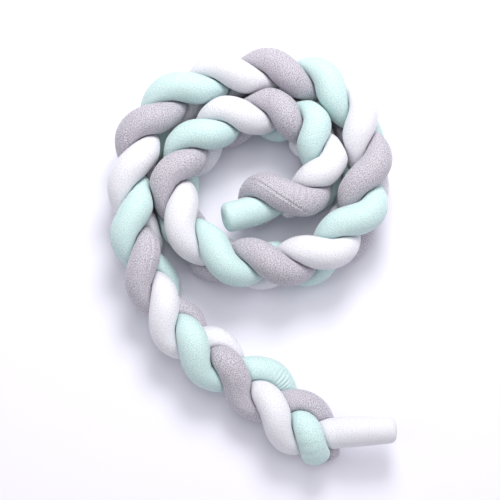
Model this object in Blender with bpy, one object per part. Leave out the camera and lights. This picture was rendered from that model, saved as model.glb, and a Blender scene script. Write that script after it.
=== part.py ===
"""A braided crib bumper: three long stuffed velvet tubes in one flat plait.

The plait stands on its edge as an inward spiral of almost two turns.  Its outer end runs off the ring as a tail
that leans over sideways.  The centre line of each tube is worked out from the plait's own route, and the tubes
press each other, and the floor, out of round.

Metres, +Z up, origin on the floor under the middle of the whole thing.
"""
from collections import namedtuple

import bmesh
import bpy
import numpy as np

# ---------------------------------------------------------------- sizes
TUBE_RADIUS = 0.025          # a stuffed tube, free of its neighbours
PLAIT_WIDTH = 0.035          # how far a tube's centre line swings to either edge of the plait
PLAIT_DEPTH = 0.0135         # and to either face of it, where it crosses over another
STRANDS = 3
FLOOR_SINK = 0.004           # how far a tube flattens where it lies on the floor
CLEARANCE = 0.0018           # between two tubes that press on each other
SWELL = 1.05                 # most that a squeezed tube grows the other way
SWELL_RATE = 0.35            # how fast it grows as its section is squeezed
SWELL_ROUNDS = 4
PRESS_SHARPNESS = 8          # how abruptly a tube turns flat where it is pressed
REACH = 0.09                 # tubes further apart than this don't press on each other
SAME_TURN = 0.20             # along one tube, nearer stretches than this don't press on each other
END_ROUNDING = 0.014         # length of the rounded rim at a tube's closed end
END_SCALE = 0.72             # size of the flat end disc, as a share of the tube

SIDES = 14                   # faces round a tube
RING_STEP = 0.0185           # along a tube
RIM_RING = 0.0035            # the first ring's distance from a tube's end
LOOKS = 3                    # places between two rings where the room round a tube is measured
ROUTE_STEP = 0.003           # between the points that neighbours are measured from
PLAIT_STEP = 0.25            # plaits between the points that a centre line is drawn through
KNOT_POINTS = 8              # points that a smooth line gets for each of those
HEADING_STEP = 0.01          # plaits on either side that give the plait's heading
TURN = np.linspace(0, 2 * np.pi, 73)
SHARP_ANGLE = np.radians(35)

# One row for each crossing over the plait's upper edge, counted from the inner end.  x and y are the middle of the
# plait, lean is how many degrees it has fallen outwards, and the rest are the plait's width and depth and the
# tubes' radius there.
Station = namedtuple(
    "Station", "plait x y lean width depth radius", defaults=(0, PLAIT_WIDTH, PLAIT_DEPTH, TUBE_RADIUS)
)
STATIONS = (
    Station(-1, -0.060, 0.051, 0, 0.035, 0.017),
    Station(0, 0.003, 0.065, 0, 0.035, 0.017),
    Station(1, 0.064, 0.082, 0, 0.035, 0.018),
    Station(2, 0.113, 0.129, 0, 0.035, 0.014),
    Station(3, 0.105, 0.195),
    Station(4, 0.056, 0.230, -8),
    Station(5, -0.019, 0.230, -8),
    Station(6, -0.081, 0.187),
    Station(7, -0.121, 0.129),
    Station(8, -0.110, 0.049),
    Station(9, -0.048, -0.007),
    Station(10, 0.030, -0.020, 7, 0.035, 0.012),
    Station(11, 0.104, -0.009),
    Station(12, 0.164, 0.049, 0, 0.035, 0.017),
    Station(13, 0.188, 0.126, 0, 0.035, 0.0155),
    Station(14, 0.180, 0.209),
    Station(15, 0.129, 0.271),
    Station(16, 0.054, 0.298),
    Station(17, -0.031, 0.295),
    Station(18, -0.107, 0.268),
    Station(19, -0.168, 0.209),
    Station(20, -0.186, 0.134, 4),
    Station(21, -0.185, 0.045, 9, 0.035, 0.0135, 0.024),
    Station(22, -0.163, -0.030, 14, 0.034, 0.013, 0.023),
    Station(23, -0.128, -0.105, 25, 0.031, 0.014, 0.023),
    Station(24, -0.071, -0.159, 37, 0.030, 0.016, 0.024),
    Station(25, -0.006, -0.209, 43, 0.029, 0.016, 0.023),
    Station(26, 0.058, -0.258, 46, 0.029, 0.016, 0.023),
    Station(27, 0.115, -0.299, 48, 0.029, 0.016, 0.023),
    Station(28, 0.171, -0.337, 48, 0.029, 0.016, 0.023),
)

# Where one tube lies off its even place at one of its crossings: pulled in by a share of the plait's width, and
# moved ahead along the plait or to the left of it.
Pull = namedtuple("Pull", "tube plait share ahead left", defaults=(0, 0, 0))
PULL_SPREAD = 0.55
PULLS = (
    Pull("tube_mint", 9.2, left=-0.006),
    Pull("tube_mint", 10.4, left=0.005),
    Pull("tube_mint", 12, ahead=-0.003, left=-0.004),
    Pull("tube_mint", 24, ahead=-0.003),
    Pull("tube_mint", 25.5, ahead=0.006, left=0.011),
    Pull("tube_mint", 27, -0.40, ahead=-0.006, left=-0.008),
    Pull("tube_grey", 13, ahead=-0.006),
    Pull("tube_grey", 25, -0.40, ahead=-0.007),
    Pull("tube_grey", 26.5, -0.30, ahead=0.010, left=0.007),
    Pull("tube_white", 1.75, left=-0.008),
    Pull("tube_white", 5, ahead=0.005),
    Pull("tube_white", 23, left=0.004),
    Pull("tube_white", 24.5, -0.35),
    Pull("tube_white", 26, ahead=0.002, left=-0.003),
)

# A point of the loose stretch between a tube's closed end and the plait.
Loose = namedtuple("Loose", "x y z radius", defaults=(TUBE_RADIUS,))

# Each tube: its place in the plait, the plait numbers where it leaves it, and its loose stretches at either end.
Tube = namedtuple("Tube", "name order start end inner_end tail_end colour roughness")
TUBES = (
    Tube(
        "tube_mint", 0, 0.95, 26.75,
        (Loose(-0.042, 0.051, 0.076), Loose(0.020, 0.075, 0.062), Loose(0.046, 0.089, 0.050)),
        (Loose(0.104, -0.326, 0.042, 0.021),),
        (0.58, 0.84, 0.76), 0.85,
    ),
    Tube(
        "tube_grey", 1, 0.80, 26.80,
        (Loose(0.036, 0.068, 0.023), Loose(0.007, 0.091, 0.041), Loose(0.018, 0.102, 0.073)),
        (Loose(0.116, -0.307, 0.022, 0.023), Loose(0.122, -0.329, 0.021, 0.022)),
        (0.47, 0.43, 0.47), 0.90,
    ),
    Tube(
        "tube_white", 2, 1.80, 26.60,
        (Loose(0.050, 0.080, 0.038, 0.0235), Loose(0.083, 0.099, 0.064, 0.0235)),
        (Loose(0.144, -0.288, 0.059, 0.0230), Loose(0.226, -0.2845, 0.062, 0.0205)),
        (0.86, 0.85, 0.88), 0.85,
    ),
)


# ---------------------------------------------------------------- lines
def unit(vectors):
    """The vectors at length one."""
    return vectors / np.linalg.norm(vectors, axis=-1, keepdims=True)


def smooth_curve(knots, values):
    """A natural cubic spline: a function that gives the values between the knots."""
    knots = np.asarray(knots, float)
    values = np.asarray(values, float)
    steps = np.diff(knots)
    slopes = np.diff(values, axis=0) / steps[:, None]
    system = np.eye(len(knots))
    right = np.zeros_like(values)
    for i in range(1, len(knots) - 1):
        system[i, i - 1:i + 2] = steps[i - 1], 2 * (steps[i - 1] + steps[i]), steps[i]
        right[i] = 6 * (slopes[i] - slopes[i - 1])
    bends = np.linalg.solve(system, right)

    def at(places):
        places = np.asarray(places, float)
        i = np.clip(np.searchsorted(knots, places) - 1, 0, len(steps) - 1)
        step = steps[i][:, None]
        after = (places - knots[i])[:, None]
        before = step - after
        straight = (values[i] * before + values[i + 1] * after) / step
        bend_in = bends[i] * (before ** 3 / step - step * before)
        bend_out = bends[i + 1] * (after ** 3 / step - step * after)
        return straight + (bend_in + bend_out) / 6

    return at


def lengths_along(line):
    """The distance along a line, from its first point."""
    steps = np.linalg.norm(np.diff(line[:, :3], axis=0), axis=1)
    return np.concatenate([[0.0], np.cumsum(steps)])


def line_at(line, places):
    """The line's columns at some distances along it."""
    along = lengths_along(line)
    return np.stack([np.interp(places, along, column) for column in line.T], axis=1)


def even_places(length, step):
    """Distances about one step apart, from nought to the whole length."""
    return np.linspace(0, length, max(2, round(length / step) + 1))


# ---------------------------------------------------------------- the plait
def plait_route():
    """The stations as one smooth curve: x, y, lean, width, depth and radius at any plait number."""
    rows = [(s.x, s.y, np.radians(s.lean), s.width, s.depth, s.radius) for s in STATIONS]
    return smooth_curve([s.plait for s in STATIONS], rows)


def level_directions(route, plaits):
    """The directions along the plait and to the left of it, both level."""
    heading = route(plaits + HEADING_STEP) - route(plaits - HEADING_STEP)
    ahead = unit(np.column_stack([heading[:, :2], np.zeros(len(plaits))]))
    left = np.column_stack([-ahead[:, 1], ahead[:, 0], ahead[:, 2]])
    return ahead, left


def pulled(tube, plaits):
    """How a tube's pulls change each point: the share of the width, the way ahead and the way left."""
    total = np.zeros((len(plaits), 3))
    for pull in PULLS:
        if pull.tube == tube.name:
            near = np.exp(-((plaits - pull.plait) / PULL_SPREAD) ** 2)
            total += near[:, None] * (pull.share, pull.ahead, pull.left)
    return np.split(total, 3, axis=1)


def tube_in_plait(route, tube, plaits):
    """A tube's centre line and radius: a figure of eight across the plait that moves on with it."""
    here = route(plaits)
    lean = here[:, 2:3]
    width = here[:, 3:4]
    depth = here[:, 4:5]
    radius = here[:, 5]
    ahead, left = level_directions(route, plaits)
    up = np.array([0.0, 0.0, 1.0])
    across = np.cos(lean) * up - np.sin(lean) * left
    through = np.cos(lean) * left + np.sin(lean) * up
    share, forward, sideways = pulled(tube, plaits)
    phase = 2 * np.pi * (plaits - tube.order) / STRANDS + np.pi / 2
    swing = width * (1 + share) * np.sin(phase)[:, None] * across
    swing += depth * np.sin(2 * phase)[:, None] * through
    swing += forward * ahead + sideways * left
    heights = width * across[:, 2:] * np.sin(TURN) + depth * through[:, 2:] * np.sin(2 * TURN)
    middle = radius - FLOOR_SINK - heights.min(axis=1)
    return np.column_stack([here[:, :2] + swing[:, :2], middle + swing[:, 2], radius])


def centre_line(route, tube):
    """A tube from its inner closed end through the plait to its outer one: x, y, z and radius."""
    plaits = np.linspace(tube.start, tube.end, round((tube.end - tube.start) / PLAIT_STEP) + 1)
    points = np.vstack([*tube.inner_end, *tube_in_plait(route, tube, plaits), *tube.tail_end])
    knots = lengths_along(points)
    line = smooth_curve(knots, points)(np.linspace(0, knots[-1], KNOT_POINTS * len(points)))
    return line_at(line, even_places(lengths_along(line)[-1], ROUTE_STEP))


# ---------------------------------------------------------------- a tube's section
def rolling_frame(points):
    """Two directions square to a line at each of its points, which don't twist round it."""
    ahead = unit(np.gradient(points, axis=0))
    side = np.cross((0.0, 0.0, 1.0), ahead[0])
    sides = []
    for direction in ahead:
        side = unit(side - (side @ direction) * direction)
        sides.append(side)
    sides = np.array(sides)
    return sides, np.cross(ahead, sides)


def neighbours_of(point, place, own, others):
    """The points of the other tubes, and of this one's other turns, that may press on it at one point."""
    other_turns = own[np.abs(lengths_along(own) - place) > SAME_TURN]
    lines = np.vstack([*others, other_turns])[:, :3]
    return lines[np.linalg.norm(lines - point, axis=1) < REACH]


def room_along(rays, away):
    """How far each ray may reach before it is half way to the nearest of some points, less the clearance."""
    if not len(away):
        return np.full(len(rays), np.inf)
    towards = rays @ away.T + CLEARANCE
    square = (away ** 2).sum(axis=1) - CLEARANCE ** 2
    reach = np.where(towards > 0, square / (2 * np.maximum(towards, 1e-9)), np.inf)
    return reach.min(axis=1)


def flattened(full, room):
    """The full radius where there is room for it, and less where there isn't, with a soft change between."""
    return (full ** -PRESS_SHARPNESS + room ** -PRESS_SHARPNESS) ** (-1 / PRESS_SHARPNESS)


def pressed_radii(free, room):
    """The radius along each ray, swollen where the tube is squeezed, so that its girth is kept."""
    free = free[:, None]
    full = free
    for _ in range(SWELL_ROUNDS):
        share = (flattened(full, room) ** 2).mean(axis=1, keepdims=True) / free ** 2
        full = np.clip(full * share ** -SWELL_RATE, free, free * SWELL)
        full[1:-1] = (full[:-2] + 2 * full[1:-1] + full[2:]) / 4
    return flattened(full, room)


def least_around(radii):
    """The least radius close round each corner, which keeps the flat faces between them clear as well."""
    least = np.minimum.reduce([np.roll(radii, shift, axis=1) for shift in (-1, 0, 1)])
    padded = np.pad(least, ((1, 1), (0, 0)), mode="edge")
    least = np.minimum.reduce([padded[:-2], padded[1:-1], padded[2:]])
    return least[::LOOKS, ::2]


def rim_share(places):
    """The share of its radius that a tube has at each ring: its closed ends have rounded rims."""
    to_end = np.minimum(places, places[-1] - places)
    rim = 1 - np.clip(to_end / END_ROUNDING, 0, 1)
    return END_SCALE + (1 - END_SCALE) * np.sqrt(1 - rim ** 2)


def tube_skin(line, others):
    """A tube's rings of corners, no lower than the floor."""
    length = lengths_along(line)[-1]
    body = even_places(length, RING_STEP)[1:-1]
    places = np.concatenate([[0, RIM_RING], body, [length - RIM_RING, length]])
    looks = np.interp(np.arange(LOOKS * (len(places) - 1) + 1) / LOOKS, np.arange(len(places)), places)
    middles = line_at(line, looks)
    points = middles[:, :3]
    side, up = rolling_frame(points)
    angles = np.arange(2 * SIDES) * np.pi / SIDES
    rays = np.cos(angles)[:, None] * side[:, None] + np.sin(angles)[:, None] * up[:, None]
    room = np.array([
        room_along(ray, neighbours_of(point, look, line, others) - point)
        for point, look, ray in zip(points, looks, rays)
    ])
    radii = least_around(pressed_radii(middles[:, 3], room)) * rim_share(places)[:, None]
    skin = points[::LOOKS, None] + radii[:, :, None] * rays[::LOOKS, ::2]
    skin[:, :, 2] = np.maximum(skin[:, :, 2], 0)
    return skin


# ---------------------------------------------------------------- the solids
def rolled_tube(name, skin):
    """A strip of cloth rolled along the skin's rings, joined along its long edges and closed at its ends."""
    skin = np.concatenate([skin, skin[:, :1]], axis=1)
    rings, around, _ = skin.shape
    mesh = bmesh.new()
    bmesh.ops.create_grid(mesh, x_segments=around - 1, y_segments=rings - 1, size=1)
    for vertex, place in zip(mesh.verts, skin.reshape(-1, 3)):
        vertex.co = place
    bmesh.ops.remove_doubles(mesh, verts=mesh.verts, dist=1e-6)
    bmesh.ops.holes_fill(mesh, edges=mesh.edges, sides=0)
    bmesh.ops.recalc_face_normals(mesh, faces=mesh.faces)
    data = bpy.data.meshes.new(name)
    mesh.to_mesh(data)
    mesh.free()
    data.shade_smooth()
    data.set_sharp_from_angle(angle=SHARP_ANGLE)
    solid = bpy.data.objects.new(name, data)
    bpy.context.scene.collection.objects.link(solid)
    return solid


def velvet(tube):
    """The tube's own material."""
    material = bpy.data.materials.new(tube.name + "_velvet")
    material.use_nodes = True
    shader = material.node_tree.nodes["Principled BSDF"]
    shader.inputs["Base Color"].default_value = (*tube.colour, 1)
    shader.inputs["Roughness"].default_value = tube.roughness
    shader.inputs["Metallic"].default_value = 0
    return material


def clear_scene():
    """Remove every object."""
    for item in list(bpy.data.objects):
        bpy.data.objects.remove(item)


def main():
    """Build the three tubes."""
    clear_scene()
    route = plait_route()
    lines = {tube.name: centre_line(route, tube) for tube in TUBES}
    for tube in TUBES:
        others = [line for name, line in lines.items() if name != tube.name]
        solid = rolled_tube(tube.name, tube_skin(lines[tube.name], others))
        solid.data.materials.append(velvet(tube))


main()
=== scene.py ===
"""The looks of a braided crib bumper: three stuffed velvet tubes in one flat plait.

The plait stands on its edge as an inward spiral and its outer end lies down as a tail. Each tube is rolled
from one strip of short-pile velvet, sewn along its length, turned, stuffed and drawn shut at both ends.
"""
import logging
import math
from dataclasses import dataclass, field
from enum import Enum

import bmesh
import bpy
import numpy as np
from mathutils import Matrix, Vector, noise


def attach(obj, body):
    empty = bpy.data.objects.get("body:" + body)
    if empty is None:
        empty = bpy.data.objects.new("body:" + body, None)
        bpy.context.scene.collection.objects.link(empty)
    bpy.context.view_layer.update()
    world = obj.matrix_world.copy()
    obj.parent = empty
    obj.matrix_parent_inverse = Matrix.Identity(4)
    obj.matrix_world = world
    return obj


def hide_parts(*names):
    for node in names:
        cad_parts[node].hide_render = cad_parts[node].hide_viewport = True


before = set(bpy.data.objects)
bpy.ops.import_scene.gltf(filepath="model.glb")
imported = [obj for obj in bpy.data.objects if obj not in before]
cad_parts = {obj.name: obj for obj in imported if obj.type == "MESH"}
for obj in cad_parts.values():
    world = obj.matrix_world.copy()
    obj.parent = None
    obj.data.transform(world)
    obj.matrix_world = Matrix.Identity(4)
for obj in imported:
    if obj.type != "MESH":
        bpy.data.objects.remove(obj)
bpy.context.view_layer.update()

LOG = logging.getLogger("crib_bumper")

STRANDS = 3                  # tubes in the plait
TUBE_RADIUS = 0.025
PLAIT_WIDTH = 0.035          # from the middle of the plait to a tube's outermost place
PLAIT_DEPTH = 0.0135         # the same through the plait
FLOOR_SINK = 0.004           # how far a tube flattens on the floor
FLOOR_GAP = 0.0002           # that the cloth and the thread keep over it
CLEARANCE = 0.0005           # between two tubes that press on each other
REACH = 0.09                 # how far off a neighbour can still press
SAME_TURN = 0.20             # length of a tube that doesn't press on its own middle
SWELL = 1.05                 # most that a squeezed tube grows the other way
SWELL_RATE = 0.35            # how much of its lost girth a tube takes back in each round
SWELL_ROUNDS = 4
PRESS_SHARPNESS = 8          # how abruptly a tube turns flat where it is pressed
PRESS_FROM = 0.01            # share of the radius lost where the painted shade in the creases between tubes starts
PRESS_FULL = 0.13
END_ROUNDING = 0.014         # length of the rounded rim at a closed end
ROUTE_STEP = 0.003           # between the points of a tube's centre line
PLAIT_STEP = 0.25            # of the plait number between the knots of its curve
LOOSE_STEP = 0.5             # of the plait number for each point of a loose end
KNOT_POINTS = 8              # for each of those knots, before they are spaced evenly
HEADING_STEP = 0.01
PULL_SPREAD = 0.55           # of the plait number, over which a pull fades
LAYER_STEP = 11.0            # sets the unevenness of one tube apart from the next
SMALL_LAYER = 7              # and these the small lumps, the creases and their wavering
CREASE_LAYER = 3
WAVER_LAYER = 13
TURN = np.linspace(0, 2 * np.pi, 73)
TINY = 1e-9

RING_STEP = 0.0024
STITCH_PITCH = 2 * RING_STEP
STITCH_SIZE = (0.0018, 0.0006, 0.0006)
STITCH_RISE = 0.0009
STITCH_TURN = 0.20
STITCH_SPAN = 0.001          # either way along the seam, over which a stitch takes its direction
GATHER_STEP = 0.0008         # between the rings where the cloth is gathered
GATHER_REACH = 1.8           # how far those go, against the reach of the gather
STRIP_COLUMNS = 54           # across the strip of cloth, from one raw edge to the other
SEAM_CROWD = 0.55            # how much closer the columns lie beside the seam
JOIN_DISTANCE = 1e-7


class Strand(Enum):
    """The three tubes, by the name of the solid that each one dresses."""

    MINT = "tube_mint"
    GREY = "tube_grey"
    WHITE = "tube_white"


@dataclass(frozen=True)
class Station:
    """One crossing over the plait's upper edge: its middle, lean in degrees, width and depth."""

    plait: float
    x: float
    y: float
    lean: float = 0
    width: float = PLAIT_WIDTH
    depth: float = PLAIT_DEPTH
    radius: float = TUBE_RADIUS


@dataclass(frozen=True)
class Loose:
    """A point of the loose stretch between a tube's closed end and the plait."""

    x: float
    y: float
    z: float
    radius: float = TUBE_RADIUS


@dataclass(frozen=True)
class Pull:
    """A crossing where a tube lies off its even place, by a share of the width, ahead or to the left."""

    plait: float
    share: float = 0.0
    ahead: float = 0.0
    left: float = 0.0


@dataclass(frozen=True)
class Gather:
    """A few short pleats across a tube, where a neighbour pinches its cloth.

    They lie at a plait number and at some degrees from the tube's top towards the left of its way.
    """

    plait: float
    degrees: float
    depth: float
    pitch: float = 0.0056
    reach_along: float = 0.013
    reach_around: float = 0.55
    fan: float = 0.25            # how much the pleats spread round the tube
    sharpness: float = 1.5


@dataclass(frozen=True)
class SeamMark:
    """Where the long seam lies at a plait number, in degrees from the top towards the left of its way."""

    plait: float
    degrees: float


STATIONS = (
    Station(-1, -0.060, 0.051, 0, 0.035, 0.017),
    Station(0, 0.003, 0.065, 0, 0.035, 0.017),
    Station(1, 0.064, 0.082, 0, 0.035, 0.018),
    Station(2, 0.113, 0.129, 0, 0.035, 0.014),
    Station(3, 0.105, 0.195),
    Station(4, 0.056, 0.230, -8),
    Station(5, -0.019, 0.230, -8),
    Station(6, -0.081, 0.187),
    Station(7, -0.121, 0.129),
    Station(8, -0.110, 0.049),
    Station(9, -0.048, -0.007),
    Station(10, 0.030, -0.020, 7, 0.035, 0.012),
    Station(11, 0.104, -0.009),
    Station(12, 0.164, 0.049, 0, 0.035, 0.017),
    Station(13, 0.188, 0.126, 0, 0.035, 0.0155),
    Station(14, 0.180, 0.209),
    Station(15, 0.129, 0.271),
    Station(16, 0.054, 0.298),
    Station(17, -0.031, 0.295),
    Station(18, -0.107, 0.268),
    Station(19, -0.168, 0.209),
    Station(20, -0.186, 0.134, 4),
    Station(21, -0.185, 0.045, 9, 0.035, 0.0135, 0.024),
    Station(22, -0.163, -0.030, 14, 0.034, 0.013, 0.023),
    Station(23, -0.128, -0.105, 25, 0.031, 0.014, 0.023),
    Station(24, -0.071, -0.159, 37, 0.030, 0.016, 0.024),
    Station(25, -0.006, -0.209, 43, 0.029, 0.016, 0.023),
    Station(26, 0.058, -0.258, 46, 0.029, 0.016, 0.023),
    Station(27, 0.115, -0.299, 48, 0.029, 0.016, 0.023),
    Station(28, 0.171, -0.337, 48, 0.029, 0.016, 0.023),
)


def unit(vectors: np.ndarray) -> np.ndarray:
    """Return the vectors at length one."""
    return vectors / np.linalg.norm(vectors, axis=-1, keepdims=True)


def lengths_along(line: np.ndarray) -> np.ndarray:
    """Return the distance along a line of points from its first one."""
    steps = np.linalg.norm(np.diff(line[:, :3], axis=0), axis=1)
    return np.concatenate([[0.0], np.cumsum(steps)])


def line_at(line: np.ndarray, places: np.ndarray) -> np.ndarray:
    """Return the columns of a line at some distances along it."""
    along = lengths_along(line)
    return np.stack([np.interp(places, along, column) for column in line.T], axis=1)


def even_places(length: float, step: float) -> np.ndarray:
    """Return distances about one step apart, from nought to the whole length."""
    return np.linspace(0, length, max(2, round(length / step) + 1))


def ease(values: np.ndarray, low: float, high: float) -> np.ndarray:
    """Return nought below low, one above high, and a soft step between."""
    t = np.clip((values - low) / (high - low), 0, 1)
    return t * t * (3 - 2 * t)


def cloth_noise(along: np.ndarray, around: np.ndarray, layer: float) -> np.ndarray:
    """Return smooth noise from -1 to 1 over a tube's surface.

    Args:
        along: Distance along the tube in noise cells, one row a ring.
        around: Angle round the tube in radians, in the same shape.
        layer: A number that sets this noise apart from the others.

    Returns:
        The noise, in the shape of the arguments.
    """
    flat = zip(along.ravel(), np.cos(around).ravel(), np.sin(around).ravel())
    values = [noise.noise(Vector((a, c + layer, s - layer))) for a, c, s in flat]
    return np.array(values).reshape(along.shape)


class SmoothCurve:
    """A natural cubic spline through some values."""

    def __init__(self, knots: np.ndarray, values: np.ndarray) -> None:
        """Work out how much the curve bends at each knot.

        Args:
            knots: Where the values are, in rising order.
            values: One row of values for each knot.
        """
        self.knots = np.asarray(knots, float)
        self.values = np.asarray(values, float)
        steps = np.diff(self.knots)
        slopes = np.diff(self.values, axis=0) / steps[:, None]
        system = np.eye(len(self.knots))
        right = np.zeros_like(self.values)
        for i in range(1, len(self.knots) - 1):
            system[i, i - 1:i + 2] = steps[i - 1], 2 * (steps[i - 1] + steps[i]), steps[i]
            right[i] = 6 * (slopes[i] - slopes[i - 1])
        self.bends = np.linalg.solve(system, right)

    def at(self, places: np.ndarray) -> np.ndarray:
        """Return the curve's values.

        Args:
            places: Where, between the first knot and the last one.

        Returns:
            One row of values for each place.
        """
        places = np.asarray(places, float)
        i = np.clip(np.searchsorted(self.knots, places) - 1, 0, len(self.knots) - 2)
        step = np.diff(self.knots)[i][:, None]
        after = (places - self.knots[i])[:, None]
        before = step - after
        straight = (self.values[i] * before + self.values[i + 1] * after) / step
        bend_in = self.bends[i] * (before ** 3 / step - step * before)
        bend_out = self.bends[i + 1] * (after ** 3 / step - step * after)
        return straight + (bend_in + bend_out) / 6


class PlaitRoute:
    """The way that the middle of the plait goes round the spiral and down the tail."""

    def __init__(self, stations: tuple[Station, ...]) -> None:
        """Draw one smooth curve through the stations."""
        rows = [(s.x, s.y, math.radians(s.lean), s.width, s.depth, s.radius) for s in stations]
        self.curve = SmoothCurve([s.plait for s in stations], rows)

    def strand_points(self, order: int, pulled: np.ndarray, plaits: np.ndarray) -> np.ndarray:
        """Return a tube's centre line in the plait: a figure of eight that moves on with it.

        Args:
            order: The tube's place in the plait.
            pulled: For each point the share of the width, the distance ahead and the distance left.
            plaits: The plait numbers.

        Returns:
            One row of x, y, z and radius for each plait number.
        """
        here = self.curve.at(plaits)
        heading = self.curve.at(plaits + HEADING_STEP) - self.curve.at(plaits - HEADING_STEP)
        ahead = unit(np.column_stack([heading[:, :2], np.zeros(len(plaits))]))
        left = np.column_stack([-ahead[:, 1], ahead[:, 0], ahead[:, 2]])
        up = np.array([0.0, 0.0, 1.0])
        lean, width, depth = here[:, 2:3], here[:, 3:4], here[:, 4:5]
        across = np.cos(lean) * up - np.sin(lean) * left
        through = np.cos(lean) * left + np.sin(lean) * up
        phase = (2 * np.pi * (plaits - order) / STRANDS + np.pi / 2)[:, None]
        swing = width * (1 + pulled[:, :1]) * np.sin(phase) * across + depth * np.sin(2 * phase) * through
        swing += pulled[:, 1:2] * ahead + pulled[:, 2:] * left
        heights = width * across[:, 2:] * np.sin(TURN) + depth * through[:, 2:] * np.sin(2 * TURN)
        middle = here[:, 5] - FLOOR_SINK - heights.min(axis=1)
        return np.column_stack([here[:, :2] + swing[:, :2], middle + swing[:, 2], here[:, 5]])


@dataclass(frozen=True)
class PileColours:
    """The colours of a velvet's pile: between the tufts, on them, and at the tips that catch the light."""

    # deep is also the colour that the painted crease shade multiplies in where the tubes press
    deep: tuple[float, float, float]
    body: tuple[float, float, float]
    tip: tuple[float, float, float]


def set_inputs(node: bpy.types.Node, **values: object) -> None:
    """Set some of a node's inputs, each named with lines for its spaces."""
    for name, value in values.items():
        node.inputs[name.replace("_", " ")].default_value = value


class ClothMaterial:
    """A cloth's material: a shared node group that feeds the shader's colour, roughness and bump."""

    sources = {
        "Place": ("ShaderNodeTexCoord", "Object", {}),
        "Strip": ("ShaderNodeUVMap", "UV", {"uv_map": "strip"}),
        "Press": ("ShaderNodeAttribute", "Fac", {"attribute_name": "press"}),
    }

    def __init__(self, name: str, group: bpy.types.NodeTree) -> None:
        """Lay the nodes out and link them.

        Args:
            name: The material's name.
            group: The node group.
        """
        self.material = bpy.data.materials.new(name)
        self.material.use_nodes = True
        nodes, links = self.material.node_tree.nodes, self.material.node_tree.links
        self.shader = nodes["Principled BSDF"]
        self.bump = nodes.new("ShaderNodeBump")
        self.cloth = nodes.new("ShaderNodeGroup")
        self.cloth.node_tree = group
        for name, (kind, output, settings) in self.sources.items():
            if name in self.cloth.inputs:
                source = nodes.new(kind)
                for setting, value in settings.items():
                    setattr(source, setting, value)
                links.new(source.outputs[output], self.cloth.inputs[name])
        targets = {
            "Colour": self.shader.inputs["Base Color"],
            "Roughness": self.shader.inputs["Roughness"],
            "Height": self.bump.inputs["Height"],
        }
        for output in self.cloth.outputs:
            links.new(output, targets[output.name])
        links.new(self.bump.outputs["Normal"], self.shader.inputs["Normal"])


@dataclass(frozen=True)
class VelvetFinish:
    """Short-pile velvet of one colour."""

    name: str
    colours: PileColours
    grain_contrast: float
    roughness: float
    sheen_tint: tuple[float, float, float]
    sheen: float = 0.5
    sheen_roughness: float = 0.4
    specular: float = 0.6
    grain_scale: float = 590.0
    nap_scale: float = 26.0
    bump_depth: float = 0.0010
    bump_strength: float = 0.5

    def material(self, groups: "ClothGroups") -> bpy.types.Material:
        """Make the velvet.

        Args:
            groups: The node groups that the cloths share.

        Returns:
            The material.
        """
        velvet = ClothMaterial(self.name, groups.pile)
        pile = self.colours
        set_inputs(velvet.cloth, Deep=(*pile.deep, 1), Body=(*pile.body, 1), Tip=(*pile.tip, 1))
        set_inputs(velvet.cloth, Grain_Scale=self.grain_scale, Grain_Contrast=self.grain_contrast)
        set_inputs(velvet.cloth, Nap_Scale=self.nap_scale, Base_Roughness=self.roughness)
        set_inputs(velvet.shader, Metallic=0.0, Specular_IOR_Level=self.specular, Sheen_Weight=self.sheen)
        set_inputs(velvet.shader, Sheen_Roughness=self.sheen_roughness, Sheen_Tint=(*self.sheen_tint, 1))
        set_inputs(velvet.bump, Strength=self.bump_strength, Distance=self.bump_depth)
        return velvet.material


@dataclass(frozen=True)
class ThreadFinish:
    """Spun sewing thread of one colour."""

    name: str
    light: tuple[float, float, float]
    shade: tuple[float, float, float]
    roughness: float = 0.55
    sheen: float = 0.25
    bump_depth: float = 0.0003
    bump_strength: float = 0.4

    def material(self, groups: "ClothGroups") -> bpy.types.Material:
        """Make the thread.

        Args:
            groups: The node groups that the cloths share.

        Returns:
            The material.
        """
        thread = ClothMaterial(self.name, groups.thread)
        set_inputs(thread.cloth, Light=(*self.light, 1), Shade=(*self.shade, 1))
        set_inputs(thread.shader, Metallic=0.0, Roughness=self.roughness, Sheen_Weight=self.sheen)
        set_inputs(thread.bump, Strength=self.bump_strength, Distance=self.bump_depth)
        return thread.material


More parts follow.
